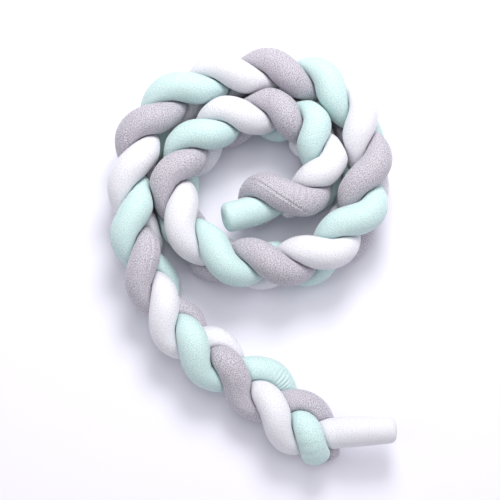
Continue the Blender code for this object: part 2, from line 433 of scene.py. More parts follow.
class NodeSheet:
    """A node group that is laid out by short calls."""

    def __init__(self, name: str) -> None:
        """Start an empty group with its two end nodes."""
        self.tree = bpy.data.node_groups.new(name, "ShaderNodeTree")
        self.start = self.tree.nodes.new("NodeGroupInput")
        self.end = self.tree.nodes.new("NodeGroupOutput")

    def socket_in(self, name: str, kind: str) -> None:
        """Add a named input of the kind Float, Color or Vector."""
        self.tree.interface.new_socket(name, in_out="INPUT", socket_type=f"NodeSocket{kind}")

    def feed(self, socket: bpy.types.NodeSocket, value: object) -> None:
        """Link a socket to another one, or set it to a number or colour.

        Args:
            socket: The socket.
            value: The other socket, the number or the colour.
        """
        if isinstance(value, bpy.types.NodeSocket):
            self.tree.links.new(value, socket)
        else:
            socket.default_value = value

    def given(self, name: str) -> bpy.types.NodeSocket:
        """Return the value of a named input."""
        return self.start.outputs[name]

    def result(self, name: str, kind: str, value: bpy.types.NodeSocket) -> None:
        """Add a named output of the kind Float, Color or Vector, and send a value to it."""
        self.tree.interface.new_socket(name, in_out="OUTPUT", socket_type=f"NodeSocket{kind}")
        self.tree.links.new(value, self.end.inputs[name])

    def maths(
        self, kind: str, first: object, second: object = 0.0, third: object = 0.0,
    ) -> bpy.types.NodeSocket:
        """Add a Math node.

        Args:
            kind: Its operation.
            first: Its first value.
            second: Its second value.
            third: Its third value.

        Returns:
            The node's output.
        """
        node = self.tree.nodes.new("ShaderNodeMath")
        node.operation = kind
        for socket, value in zip(node.inputs, (first, second, third)):
            self.feed(socket, value)
        return node.outputs[0]

    def noise(
        self, place: object, scale: object, detail: float, roughness: float = 0.5,
    ) -> bpy.types.NodeSocket:
        """Add a Noise texture.

        Args:
            place: The coordinates that it reads.
            scale: Its scale.
            detail: How many finer layers it has.
            roughness: How strong those are.

        Returns:
            The noise's value.
        """
        node = self.tree.nodes.new("ShaderNodeTexNoise")
        self.feed(node.inputs["Vector"], place)
        self.feed(node.inputs["Scale"], scale)
        set_inputs(node, Detail=detail, Roughness=roughness)
        return node.outputs["Fac"]

    def cells(self, place: object, scale: object, randomness: float) -> bpy.types.NodeSocket:
        """Add a flat Voronoi texture.

        Args:
            place: The coordinates that it reads.
            scale: How many cells lie along a metre.
            randomness: How far the cells leave a square grid.

        Returns:
            The distance from the middle of the nearest cell.
        """
        node = self.tree.nodes.new("ShaderNodeTexVoronoi")
        node.voronoi_dimensions = "2D"
        self.feed(node.inputs["Vector"], place)
        self.feed(node.inputs["Scale"], scale)
        set_inputs(node, Randomness=randomness)
        return node.outputs["Distance"]

    def stretch(self, place: object, scale: tuple[float, float, float]) -> bpy.types.NodeSocket:
        """Scale some coordinates.

        Args:
            place: The coordinates.
            scale: The amount along each axis.

        Returns:
            The scaled coordinates.
        """
        node = self.tree.nodes.new("ShaderNodeMapping")
        self.feed(node.inputs["Vector"], place)
        set_inputs(node, Scale=scale)
        return node.outputs[0]

    def step(self, value: object, limits: tuple[float, float]) -> bpy.types.NodeSocket:
        """Map a range of values smoothly to the range from 0 to 1.

        Args:
            value: The value.
            limits: The value that gives 0, and the one that gives 1.

        Returns:
            The mapped value.
        """
        node = self.tree.nodes.new("ShaderNodeMapRange")
        node.interpolation_type = "SMOOTHSTEP"
        self.feed(node.inputs["Value"], value)
        set_inputs(node, From_Min=limits[0], From_Max=limits[1])
        return node.outputs["Result"]

    def swing(self, value: object, amount: float, base: object) -> bpy.types.NodeSocket:
        """Add an amount of a value from 0 to 1, less its middle, to another one."""
        return self.maths("MULTIPLY_ADD", self.maths("SUBTRACT", value, 0.5), amount, base)

    def mix(self, share: object, first: object, second: object, kind: str = "MIX") -> bpy.types.NodeSocket:
        """Mix two colours.

        Args:
            share: How much of the second one.
            first: The first colour.
            second: The second colour.
            kind: The way they are mixed.

        Returns:
            The mixed colour.
        """
        node = self.tree.nodes.new("ShaderNodeMix")
        node.data_type = "RGBA"
        node.blend_type = kind
        self.feed(node.inputs["Factor"], share)
        colours = [socket for socket in node.inputs if socket.type == "RGBA"]
        self.feed(colours[0], first)
        self.feed(colours[1], second)
        return next(socket for socket in node.outputs if socket.type == "RGBA")


@dataclass(frozen=True)
class VelvetPile:
    """The velvet's pile: tufts, the nap that leans in patches, and painted shade in the creases where the
    tubes press.

    The shares say how much each pattern adds to the height of the pile, which runs from 0 to 1.
    """

    tuft_share: float = 0.6
    tuft_limits: tuple[float, float] = (0.75, 0.05)
    tuft_randomness: float = 0.85
    fine_scale: float = 1.6      # of the finest grain, against the tufts
    nap_share: float = 0.10
    nap_detail: tuple[float, float] = (2.0, 0.55)
    stroke_share: float = 0.08
    stroke_detail: tuple[float, float] = (2.0, 0.6)
    stroke_scale: tuple[float, float, float] = (45.0, 260.0, 1.0)
    dark_limits: tuple[float, float] = (0.55, 0.25)
    light_limits: tuple[float, float] = (0.50, 0.80)
    # painted shade: how far the colour is multiplied by the deep colour where neighbouring tubes press
    painted_crease_shade: float = 0.35
    roughness_share: float = 0.2

    def group(self) -> bpy.types.NodeTree:
        """Build the node group.

        Returns:
            Its node tree.
        """
        sheet = NodeSheet("velvet_pile")
        for name in ("Place", "Strip"):
            sheet.socket_in(name, "Vector")
        for name in ("Deep", "Body", "Tip"):
            sheet.socket_in(name, "Color")
        for name in ("Grain Scale", "Grain Contrast", "Nap Scale", "Base Roughness", "Press"):
            sheet.socket_in(name, "Float")
        place, strip, scale = (sheet.given(name) for name in ("Place", "Strip", "Grain Scale"))
        tufts = sheet.step(sheet.cells(strip, scale, self.tuft_randomness), self.tuft_limits)
        fine = sheet.noise(place, sheet.maths("MULTIPLY", scale, self.fine_scale), 0.0)
        nap = sheet.noise(place, sheet.given("Nap Scale"), *self.nap_detail)
        strokes = sheet.noise(sheet.stretch(strip, self.stroke_scale), 1.0, *self.stroke_detail)
        rest = sheet.maths("MULTIPLY", fine, 1 - self.tuft_share)
        grain = sheet.maths("MULTIPLY_ADD", tufts, self.tuft_share, rest)
        lean = sheet.swing(strokes, self.stroke_share, sheet.swing(nap, self.nap_share, grain))
        contrast = sheet.given("Grain Contrast")
        dark = sheet.maths("MULTIPLY", sheet.step(lean, self.dark_limits), contrast)
        light = sheet.maths("MULTIPLY", sheet.step(lean, self.light_limits), contrast)
        # painted shade: the pile is darkened towards its deep colour in the creases where the tubes press
        painted_crease_shade = sheet.maths("MULTIPLY", sheet.given("Press"), self.painted_crease_shade)
        colour = sheet.mix(dark, sheet.given("Body"), sheet.given("Deep"))
        colour = sheet.mix(light, colour, sheet.given("Tip"))
        sheet.result("Colour", "Color", sheet.mix(painted_crease_shade, colour, sheet.given("Deep"), "MULTIPLY"))
        sheet.result("Height", "Float", grain)
        rough = sheet.swing(tufts, self.roughness_share, sheet.given("Base Roughness"))
        sheet.result("Roughness", "Float", rough)
        return sheet.tree


@dataclass(frozen=True)
class ThreadPly:
    """The thread's two-tone ply."""

    scale: float = 2600.0
    detail: float = 1.0
    limits: tuple[float, float] = (0.4, 0.6)

    def group(self) -> bpy.types.NodeTree:
        """Build the node group.

        Returns:
            Its node tree.
        """
        sheet = NodeSheet("sewing_thread")
        sheet.socket_in("Place", "Vector")
        for name in ("Light", "Shade"):
            sheet.socket_in(name, "Color")
        ply = sheet.noise(sheet.given("Place"), self.scale, self.detail)
        colour = sheet.mix(sheet.step(ply, self.limits), sheet.given("Shade"), sheet.given("Light"))
        sheet.result("Colour", "Color", colour)
        sheet.result("Height", "Float", ply)
        return sheet.tree


class ClothGroups:
    """The node groups that the cloths and threads share."""

    def __init__(self) -> None:
        """Build each group once."""
        self.pile = VelvetPile().group()
        self.thread = ThreadPly().group()


@dataclass(frozen=True)
class Stuffing:
    """How unevenly a tube is filled, and how its cloth creases where it bends."""

    lump_size: float = 0.055
    lump_share: float = 0.022
    small_lump_size: float = 0.018
    small_lump_share: float = 0.007
    crease_length: float = 0.0105
    crease_turn: float = 0.6     # how much of its way a crease runs round the tube
    crease_depth: float = 0.0020
    crease_narrowness: float = 3.2
    crease_sharpness: float = 1.5
    crease_from: float = 0.22
    crease_full: float = 0.60
    waver_length: float = 0.03
    waver_share: float = 0.35

    def lumps(self, along: np.ndarray, around: np.ndarray, layer: float) -> np.ndarray:
        """Return the share by which the free radius grows or shrinks.

        Args:
            along: Distance along the tube, one row a ring.
            around: Angle round it, in the same shape.
            layer: A number that sets this tube apart.

        Returns:
            Factors near one.
        """
        large = cloth_noise(along / self.lump_size, around, layer)
        small = cloth_noise(along / self.small_lump_size, around * 2, layer + SMALL_LAYER)
        return 1 + self.lump_share * large + self.small_lump_share * small

    def creases(
        self, along: np.ndarray, around: np.ndarray, squeeze: np.ndarray, layer: float,
    ) -> np.ndarray:
        """Return how deep the cloth folds in where the tube's bend leaves it too long.

        Args:
            along: Distance along the tube, one row a ring.
            around: Angle round it, in the same shape.
            squeeze: How much shorter the bend makes the surface there, as a share.
            layer: A number that sets this tube apart.

        Returns:
            Depths in metres.
        """
        waver = self.waver_share * cloth_noise(along / self.waver_length, around, layer + WAVER_LAYER)
        along = along / self.crease_length + waver
        ridges = cloth_noise(along, around * self.crease_turn, layer + CREASE_LAYER)
        folds = 1 - np.clip(np.abs(ridges) * self.crease_narrowness, 0, 1)
        depth = self.crease_depth * folds ** self.crease_sharpness
        return depth * ease(squeeze, self.crease_from, self.crease_full)


@dataclass
class RingSet:
    """Some rings of a tube.

    They have their distances along it, their middles, their free radii, the way ahead, how the tube curves
    there, the angle of each ray from the top towards the left of the tube's way, and the rays.
    """

    places: np.ndarray
    points: np.ndarray
    radii: np.ndarray
    ahead: np.ndarray
    curve: np.ndarray
    turned: np.ndarray
    rays: np.ndarray

    def squeeze(self, radii: np.ndarray) -> np.ndarray:
        """Return how much shorter the bend makes the cloth at each ray, as a share."""
        return np.einsum("ij,ikj->ik", self.curve, self.rays) * radii


@dataclass
class ClothTrial:
    """The cloth simulation: a tube that was cut straight is bent and filled, and buckles where it is long.

    The trial cloth starts a little smaller than the tube, is held softly where it lies, and its movement
    along the rays of its rings is kept as smooth waves round and along the tube.
    """

    ring_step: float = 0.0046
    columns: int = 28
    waves: int = 11
    start_share: float = 0.985
    frames: int = 20
    pressure: float = 4.0
    stiffness: float = 15.0
    bending: float = 0.1
    hold: float = 0.08
    most_out: float = 0.0012
    most_in: float = 0.0030
    drift_rings: int = 11

    def hang(self, name: str, rings: RingSet, radii: np.ndarray) -> bpy.types.Object:
        """Make the trial cloth of one tube, ready to be simulated.

        Args:
            name: The name of the trial cloth.
            rings: The tube's rings.
            radii: How far the cloth lies out along each ray.

        Returns:
            The cloth.
        """
        bent = rings.points[:, None] + (self.start_share * radii)[:, :, None] * rings.rays
        wide = rings.radii[:, None]
        straight = np.broadcast_arrays(
            rings.places[:, None], wide * np.cos(rings.turned), wide * np.sin(rings.turned),
        )
        cloth = placed(name, rolled_grid(np.hstack([bent, bent[:, :1]])))
        cloth.shape_key_add(name="bent")
        cut = cloth.shape_key_add(name="cut")
        cut.data.foreach_set("co", np.stack(straight, axis=2).reshape(-1, 3)[self.corners(cloth)].ravel())
        held = cloth.vertex_groups.new(name="held")
        held.add(range(len(cloth.data.vertices)), self.hold, "REPLACE")
        simulation = cloth.modifiers.new("filling", "CLOTH")
        settings = simulation.settings
        settings.bending_model = "ANGULAR"
        settings.bending_stiffness = self.bending
        settings.tension_stiffness = self.stiffness
        settings.compression_stiffness = self.stiffness
        settings.use_pressure = True
        settings.uniform_pressure_force = self.pressure
        settings.effector_weights.gravity = 0
        settings.rest_shape_key = cloth.data.shape_keys.key_blocks["cut"]
        settings.vertex_group_mass = held.name
        simulation.collision_settings.use_collision = False
        simulation.point_cache.frame_end = self.frames
        return cloth

    def run(self) -> None:
        """Step the scene through the frames in which the cloths settle."""
        for frame_number in range(1, self.frames + 1):
            bpy.context.scene.frame_set(frame_number)

    def corners(self, cloth: bpy.types.Object) -> np.ndarray:
        """Return which corner of the rings each vertex of a trial cloth is.

        Args:
            cloth: The trial cloth.

        Returns:
            The number of the corner, counted along the rings.
        """
        numbers = np.zeros(len(cloth.data.vertices), int)
        cloth.data.attributes["corner"].data.foreach_get("value", numbers)
        ring, corner = np.divmod(numbers, self.columns + 1)
        return ring * self.columns + corner % self.columns

    def movement(self, cloth: bpy.types.Object, rings: RingSet, radii: np.ndarray) -> SmoothCurve:
        """Read how the settled cloth lies against the tube, and remove it.

        Args:
            cloth: The settled cloth.
            rings: The tube's rings.
            radii: How far the tube's cloth lay out along each ray.

        Returns:
            The waves of the movement round the tube, as a smooth curve over the distance along it.
        """
        settled = cloth.evaluated_get(bpy.context.evaluated_depsgraph_get()).data
        flat = np.zeros(3 * len(settled.vertices))
        settled.vertices.foreach_get("co", flat)
        corners = np.zeros(rings.rays.shape)
        corners.reshape(-1, 3)[self.corners(cloth)] = flat.reshape(-1, 3)
        reach = ((corners - rings.points[:, None]) * rings.rays).sum(axis=2)
        moved = np.clip(reach - radii, -2 * self.most_in, 2 * self.most_in)
        waves = np.fft.rfft(moved, axis=1)[:, :self.waves] / self.columns
        even = np.ones(self.drift_rings) / self.drift_rings
        waves[:, 1] -= np.convolve(np.pad(waves[:, 1], self.drift_rings // 2, "edge"), even, "valid")
        mesh = cloth.data
        bpy.data.objects.remove(cloth)
        bpy.data.meshes.remove(mesh)
        return SmoothCurve(rings.places, np.hstack([waves.real, waves.imag]))

    def at(self, movement: SmoothCurve, rings: RingSet) -> np.ndarray:
        """Return how far the cloth moves, within the limits.

        Args:
            movement: The waves of the movement.
            rings: The rings to move.

        Returns:
            The movement along each ray.
        """
        waves = movement.at(rings.places)
        total = np.repeat(waves[:, :1], rings.turned.shape[1], axis=1)
        for wave in range(1, self.waves):
            level, turn = waves[:, wave, None], waves[:, self.waves + wave, None]
            total = total + 2 * (level * np.cos(wave * rings.turned) - turn * np.sin(wave * rings.turned))
        most = np.where(total > 0, self.most_out, self.most_in)
        return most * np.tanh(total / most)


@dataclass(frozen=True)
class ClosedEnd:
    """A tube's end, drawn shut: a rounded rim, and a puckered disc that dips to a gather in its middle."""

    pleats: int = 13
    pleat_depth: float = 0.0009
    pleat_fade: float = 0.8
    dip: float = 0.0030
    dip_fade: float = 1.6
    gathered_share: float = 0.38     # radius of the gathered disc, as a share of the tube's
    fullness: float = 3.0            # how square the rim is: 2 is round
    rim_steps: tuple[float, ...] = (0.0, 0.0003, 0.0009, 0.0018, 0.0032, 0.0052, 0.008, 0.0115)
    disc_shares: tuple[float, ...] = (0.80, 0.62, 0.46, 0.32, 0.20, 0.10)

    def rim_share(self, to_end: np.ndarray) -> np.ndarray:
        """Return the share of its radius that the tube has at some distances from its end."""
        rim = 1 - np.clip(to_end / END_ROUNDING, 0, 1)
        round_part = (1 - rim ** self.fullness) ** (1 / self.fullness)
        return self.gathered_share + (1 - self.gathered_share) * round_part

    def disc(
        self, rim: np.ndarray, middle: np.ndarray, inwards: np.ndarray, turned: np.ndarray,
    ) -> np.ndarray:
        """Return the rings of the end's disc, from its rim to its gather.

        Args:
            rim: The corners of the end's own ring.
            middle: The middle of that ring.
            inwards: The direction into the tube.
            turned: The angle of each corner round the tube.

        Returns:
            The corners of each ring.
        """
        share = np.array(self.disc_shares)[:, None]
        fold = 0.5 + 0.5 * np.cos(self.pleats * turned)
        pleat = self.pleat_depth * fold * np.sin(np.pi * share) ** self.pleat_fade
        depth = self.dip * (1 - share) ** self.dip_fade + pleat
        return middle + (rim - middle) * share[:, :, None] + depth[:, :, None] * inwards


@dataclass(frozen=True)
class LongSeam:
    """The seam along a tube: a groove that the thread draws in, and the two lips beside it."""

    marks: tuple[SeamMark, ...]
    groove_depth: float = 0.0014
    groove_width: float = 0.0013
    lip_height: float = 0.0005
    lip_place: float = 0.0036
    lip_width: float = 0.0016
    pucker: float = 0.0005

    def angles(self, plaits: np.ndarray) -> np.ndarray:
        """Return where the seam lies at some plait numbers, in radians."""
        knots = [mark.plait for mark in self.marks]
        curve = SmoothCurve(knots, [[mark.degrees] for mark in self.marks])
        return np.radians(curve.at(np.clip(plaits, knots[0], knots[-1]))[:, 0])

    def relief(self, along: np.ndarray, off_seam: np.ndarray) -> np.ndarray:
        """Return how far the cloth stands out or in beside the seam.

        Args:
            along: Distance along the tube, one row a ring.
            off_seam: Distance from the seam across the cloth, in the same shape.

        Returns:
            Heights in metres.
        """
        groove = -self.groove_depth * np.exp(-(off_seam / self.groove_width) ** 2)
        lips = self.lip_height * np.exp(-((off_seam - self.lip_place) / self.lip_width) ** 2)
        gathers = np.cos(2 * np.pi * along / STITCH_PITCH) * np.exp(-(off_seam / self.lip_place) ** 2)
        return groove + lips - self.pucker * gathers


@dataclass
class StuffedTube:
    """One velvet tube of the plait."""

    strand: Strand
    order: int
    start: float
    end: float
    inner_end: tuple[Loose, ...]
    tail_end: tuple[Loose, ...]
    pulls: tuple[Pull, ...]
    seam: LongSeam
    finish: VelvetFinish
    thread: ThreadFinish
    slot: str
    gathers: tuple[Gather, ...] = ()
    fill: float = 0.85
    stuffing: Stuffing = Stuffing()
    closing: ClosedEnd = ClosedEnd()
    trial: ClothTrial = field(default_factory=ClothTrial)
    settled: SmoothCurve | None = None
    neighbours: list[np.ndarray] = field(default_factory=list)

    def pulled(self, plaits: np.ndarray) -> np.ndarray:
        """Return how the tube's pulls change the points of its centre line.

        Args:
            plaits: The plait numbers.

        Returns:
            For each point the share of the width, the distance ahead and the distance left.
        """
        pulled = np.zeros((len(plaits), 3))
        for pull in self.pulls:
            near = np.exp(-((plaits - pull.plait) / PULL_SPREAD) ** 2)
            pulled += near[:, None] * (pull.share, pull.ahead, pull.left)
        return pulled

    def lay(self, route: PlaitRoute) -> None:
        """Find the tube's centre line, from its inner closed end through the plait to its outer one.

        Args:
            route: The way of the plait.
        """
        plaits = np.linspace(self.start, self.end, round((self.end - self.start) / PLAIT_STEP) + 1)
        inner = [(p.x, p.y, p.z, p.radius) for p in self.inner_end]
        tail = [(p.x, p.y, p.z, p.radius) for p in self.tail_end]
        points = np.vstack([inner, route.strand_points(self.order, self.pulled(plaits), plaits), tail])
        knots = lengths_along(points)
        line = SmoothCurve(knots, points).at(np.linspace(0, knots[-1], KNOT_POINTS * len(points)))
        self.line = line_at(line, even_places(lengths_along(line)[-1], ROUTE_STEP))
        self.length = lengths_along(self.line)[-1]
        before = np.linspace(self.start - LOOSE_STEP * len(inner), self.start, len(inner), endpoint=False)
        after = np.linspace(self.end, self.end + LOOSE_STEP * len(tail), len(tail) + 1)[1:]
        numbers = np.concatenate([before, plaits, after])
        self.plait_at = np.column_stack([knots * self.length / knots[-1], numbers])

    def ring_places(self) -> np.ndarray:
        """Return where the body's rings are, which lie closer together at the ends and gathers.

        Returns:
            Their distances along the tube.
        """
        rim = np.array(self.closing.rim_steps)
        edge = rim[-1] + RING_STEP / 2
        body = even_places(self.length, RING_STEP)
        body = body[(body > edge) & (body < self.length - edge)]
        for gather in self.gathers:
            middle = np.interp(gather.plait, self.plait_at[:, 1], self.plait_at[:, 0])
            reach = GATHER_REACH * gather.reach_along
            body = body[np.abs(body - middle) > reach]
            body = np.sort(np.concatenate([body, middle + np.arange(-reach, reach, GATHER_STEP)]))
        return np.concatenate([rim, body, self.length - rim[::-1]])

    def end_shares(self, places: np.ndarray) -> np.ndarray:
        """Return the share of its radius that the tube has at some places."""
        return self.closing.rim_share(np.minimum(places, self.length - places))[:, None]

    def plaits_at(self, places: np.ndarray) -> np.ndarray:
        """Return the plait numbers at some places."""
        return np.interp(places, self.plait_at[:, 0], self.plait_at[:, 1])

    def ring_set(self, places: np.ndarray, turned: np.ndarray) -> RingSet:
        """Set up some rings of the tube.

        Args:
            places: Their distances along it.
            turned: The angle of each ray from the tube's top towards the left of its way, one row a ring.

        Returns:
            The rings.
        """
        middles = line_at(self.line, places)
        smooth = line_at(self.line, even_places(self.length, ROUTE_STEP))
        spots = lengths_along(smooth)
        tangent = unit(np.gradient(smooth[:, :3], spots, axis=0))
        curving = np.gradient(tangent, spots, axis=0)
        ahead = unit(np.stack([np.interp(places, spots, c) for c in tangent.T], axis=1))
        curve = np.stack([np.interp(places, spots, c) for c in curving.T], axis=1)
        left = unit(np.cross((0.0, 0.0, 1.0), ahead))
        top = np.cross(ahead, left)
        rays = np.cos(turned)[:, :, None] * top[:, None] + np.sin(turned)[:, :, None] * left[:, None]
        return RingSet(places, middles[:, :3], middles[:, 3], ahead, curve, turned, rays)

    def trial_rings(self) -> tuple[RingSet, np.ndarray]:
        """Set up the rings of the tube's trial cloth.

        Returns:
            The rings, and how far the cloth lies out along each ray.
        """
        places = even_places(self.length, self.trial.ring_step)
        around = np.arange(self.trial.columns) * 2 * np.pi / self.trial.columns
        rings = self.ring_set(places, np.repeat(around[None], len(places), axis=0))
        free = np.repeat(rings.radii[:, None], self.trial.columns, axis=1)
        return rings, self.pressed(free, self.room(rings)) * self.end_shares(places)

    def gathered(self, rings: RingSet, plaits: np.ndarray) -> np.ndarray:
        """Return how deep the tube's gathers fold its cloth in.

        Args:
            rings: The tube's rings.
            plaits: The plait number at each ring.

        Returns:
            Depths in metres, along each ray.
        """
        depth = np.zeros(rings.turned.shape)
        for gather in self.gathers:
            middle = np.interp(gather.plait, plaits, rings.places)
            along = (rings.places - middle)[:, None]
            around = (rings.turned - math.radians(gather.degrees) + np.pi) % (2 * np.pi) - np.pi
            near = np.exp(-(along / gather.reach_along) ** 2 - (around / gather.reach_around) ** 2)
            wave = np.cos(2 * np.pi * along * (1 + gather.fan * around) / gather.pitch)
            depth += gather.depth * near * (0.5 + 0.5 * wave) ** gather.sharpness
        return depth

    def room(self, rings: RingSet) -> np.ndarray:
        """Return how far each ray may reach before it is half way to a neighbouring tube.

        Args:
            rings: The tube's rings.

        Returns:
            One distance for each ray.
        """
        own, along = self.line[:, :3], lengths_along(self.line)
        others = np.vstack([line[:, :3] for line in self.neighbours])
        room = np.full(rings.turned.shape, np.inf)
        for i, (point, place) in enumerate(zip(rings.points, rings.places)):
            near = np.vstack([others, own[np.abs(along - place) > SAME_TURN]]) - point
            away = near[np.linalg.norm(near, axis=1) < REACH]
            if len(away):
                towards = rings.rays[i] @ away.T + CLEARANCE
                square = (away ** 2).sum(axis=1) - CLEARANCE ** 2
                half_way = square / (2 * np.maximum(towards, TINY))
                room[i] = np.where(towards > 0, half_way, np.inf).min(axis=1)
        return room

    @staticmethod
    def pressed(free: np.ndarray, room: np.ndarray) -> np.ndarray:
        """Return the radius along each ray, swollen where the tube is squeezed so that its girth is kept.

        Args:
            free: The radius with nothing in the way.
            room: How far each ray may reach.

        Returns:
            The radii.
        """
        def flattened(full: np.ndarray) -> np.ndarray:
            """Return the full radius where there is room for it, and less where there isn't."""
            return (full ** -PRESS_SHARPNESS + room ** -PRESS_SHARPNESS) ** (-1 / PRESS_SHARPNESS)

        full, swollen = free, np.ones((len(free), 1))
        for _ in range(SWELL_ROUNDS):
            share = ((flattened(full) / free) ** 2).mean(axis=1, keepdims=True)
            swollen = np.clip(swollen * share ** -SWELL_RATE, 1, SWELL)
            swollen[1:-1] = (swollen[:-2] + 2 * swollen[1:-1] + swollen[2:]) / 4
            full = free * swollen
        return flattened(full)

    def skin(self) -> tuple[np.ndarray, np.ndarray, np.ndarray]:
        """Shape the tube's cloth.

        Returns:
            The corners of each ring, the strip's coordinates there (metres along and across the cloth),
            and how hard the neighbours press on it, from 0 to 1.
        """
        layer = LAYER_STEP * self.order
        places = self.ring_places()
        plaits = self.plaits_at(places)
        share = np.linspace(0, 1, STRIP_COLUMNS + 1)
        across = share - SEAM_CROWD * np.sin(2 * np.pi * share) / (2 * np.pi)
        rings = self.ring_set(places, 2 * np.pi * across[None, :] + self.seam.angles(plaits)[:, None])
        along = np.repeat(places[:, None], STRIP_COLUMNS + 1, axis=1)
        free = rings.radii[:, None] * self.stuffing.lumps(along, rings.turned, layer)
        if self.settled is not None:
            free = free + self.trial.at(self.settled, rings)
        radii = self.pressed(free, self.room(rings))
        # press sets the painted shade in the creases where the tubes press on each other
        press = ease(1 - radii / free, PRESS_FROM, PRESS_FULL)
        radii = radii - self.stuffing.creases(along, rings.turned, rings.squeeze(radii), layer)
        off_seam = np.minimum(across, 1 - across)[None, :] * 2 * np.pi * rings.radii[:, None]
        radii = radii - self.gathered(rings, plaits)
        radii = (radii + self.seam.relief(along, off_seam)) * self.end_shares(places)
        body = rings.points[:, None] + radii[:, :, None] * rings.rays
        first = self.closing.disc(body[0], rings.points[0], rings.ahead[0], rings.turned[0])
        last = self.closing.disc(body[-1], rings.points[-1], -rings.ahead[-1], rings.turned[-1])
        skin = np.concatenate([first[::-1], body, last])
        skin[:, :, 2] = np.maximum(skin[:, :, 2], FLOOR_GAP)
        inset = self.closing.gathered_share * TUBE_RADIUS * (1 - np.array(self.closing.disc_shares))
        rows = np.concatenate([-inset[::-1], places, self.length + inset])
        wide = across * 2 * np.pi * TUBE_RADIUS
        strip = np.stack(np.broadcast_arrays(rows[:, None], wide[None, :]), axis=2)
        ends = np.zeros(first.shape[:2])
        return skin, strip, np.concatenate([ends, press, ends])

    def build(self, groups: ClothGroups) -> None:
        """Roll the strip of cloth into the tube and sew it.

        Args:
            groups: The node groups that the cloths share.
        """
        skin, strip, press = self.skin()
        name = self.strand.value.replace("tube", "velvet")
        cloth = self.rolled(name, skin, strip, press)
        cloth.data.materials.append(self.finish.material(groups))
        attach(cloth, "root")
        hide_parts(self.strand.value)
        report_piece(cloth)
        stitches = self.sewn_thread(name.replace("velvet", "seam_thread"), skin)
        stitches.data.materials.append(self.thread.material(groups))
        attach(stitches, "root")
        report_piece(stitches)

    @staticmethod
    def rolled(name: str, skin: np.ndarray, strip: np.ndarray, press: np.ndarray) -> bpy.types.Object:
        """Roll a flat strip along the skin's rings, join its long edges and draw its ends shut.

        Args:
            name: The piece's name.
            skin: The corners of each ring.
            strip: The strip's coordinates at each corner.
            press: How hard the neighbours press on each corner.

        Returns:
            The piece.
        """
        mesh = rolled_grid(skin, strip, press)
        corner = mesh.verts.layers.int["corner"]
        for row in (0, len(skin) - 1):
            ring = [vertex for vertex in mesh.verts if vertex[corner] // skin.shape[1] == row]
            middle = sum((vertex.co for vertex in ring), Vector()) / len(ring)
            bmesh.ops.pointmerge(mesh, verts=ring, merge_co=middle)
        bmesh.ops.recalc_face_normals(mesh, faces=mesh.faces)
        return placed(name, mesh)

    def sewn_thread(self, name: str, skin: np.ndarray) -> bpy.types.Object:
        """Lay one stitch in the groove of the long seam at each pitch.

        Args:
            name: The piece's name.
            skin: The corners of each ring of the cloth.

        Returns:
            The piece.
        """
        discs = len(self.closing.disc_shares)
        body = skin[discs:-discs]
        seam, inside = body[:, 0], body.mean(axis=1)
        along = lengths_along(seam)
        size = Matrix.Diagonal((*STITCH_SIZE, 1.0))
        mesh = bmesh.new()
        for place in np.arange(END_ROUNDING, along[-1] - END_ROUNDING, STITCH_PITCH):
            steps = (0, STITCH_SPAN, -STITCH_SPAN)
            here, fore, aft = (line_at(seam, np.array([place + step]))[0] for step in steps)
            middle = np.array([np.interp(place, along, column) for column in inside.T])
            run = Vector(fore - aft).normalized()
            out = Vector(here - middle)
            out = (out - out.dot(run) * run).normalized()
            turn = Matrix((run, out.cross(run), out)).transposed()
            spot = Vector(here) + out * STITCH_RISE
            spot.z = max(spot.z, FLOOR_GAP + STITCH_SIZE[0])
            at = Matrix.Translation(spot) @ turn.to_4x4() @ Matrix.Rotation(STITCH_TURN, 4, "Z") @ size
            bmesh.ops.create_icosphere(mesh, subdivisions=1, radius=1.0, matrix=at)
        bmesh.ops.recalc_face_normals(mesh, faces=mesh.faces)
        return placed(name, mesh)


def rolled_grid(
    rings: np.ndarray, strip: np.ndarray | None = None, press: np.ndarray | None = None,
) -> bmesh.types.BMesh:
    """Roll a flat grid into a tube, and join its two long edges.

    Args:
        rings: The corners of each ring, of which the last one is the first one again.
        strip: Coordinates on the flat cloth at each corner, kept as the UV map "strip".
        press: How hard the neighbours press on each corner, kept as the vertex value "press".

    Returns:
        The tube, open at both ends, with the number of each vertex in the grid kept as "corner".
    """
    rows, columns, _ = rings.shape
    mesh = bmesh.new()
    bmesh.ops.create_grid(mesh, x_segments=columns - 1, y_segments=rows - 1, size=1)
    corner = mesh.verts.layers.int.new("corner")
    # the press values kept here set the painted crease shade in the velvet
    press_shade_layer = mesh.verts.layers.float.new("press")
    pressed = np.zeros((rows, columns)) if press is None else press
    corners = zip(mesh.verts, rings.reshape(-1, 3), pressed.ravel())
    for number, (vertex, place, amount) in enumerate(corners):
        vertex.co = place
        vertex[corner] = number
        vertex[press_shade_layer] = amount
    if strip is not None:
        cloth = mesh.loops.layers.uv.new("strip")
        flat = strip.reshape(-1, 2)
        for face in mesh.faces:
            for loop in face.loops:
                loop[cloth].uv = flat[loop.vert.index]
    bmesh.ops.remove_doubles(mesh, verts=mesh.verts, dist=JOIN_DISTANCE)
    return mesh


def placed(name: str, mesh: bmesh.types.BMesh) -> bpy.types.Object:
    """Turn a bmesh into a smooth-shaded object at the origin.

    Args:
        name: The object's name.
        mesh: The bmesh, which is freed.

    Returns:
        The object.
    """
    data = bpy.data.meshes.new(name)
    mesh.to_mesh(data)
    mesh.free()
    data.shade_smooth()
    piece = bpy.data.objects.new(name, data)
    bpy.context.scene.collection.objects.link(piece)
    return piece


def report_piece(piece: bpy.types.Object) -> None:
    """Log a piece's name and how many triangles it has."""
    LOG.info("%s: %d triangles", piece.name, sum(len(p.vertices) - 2 for p in piece.data.polygons))


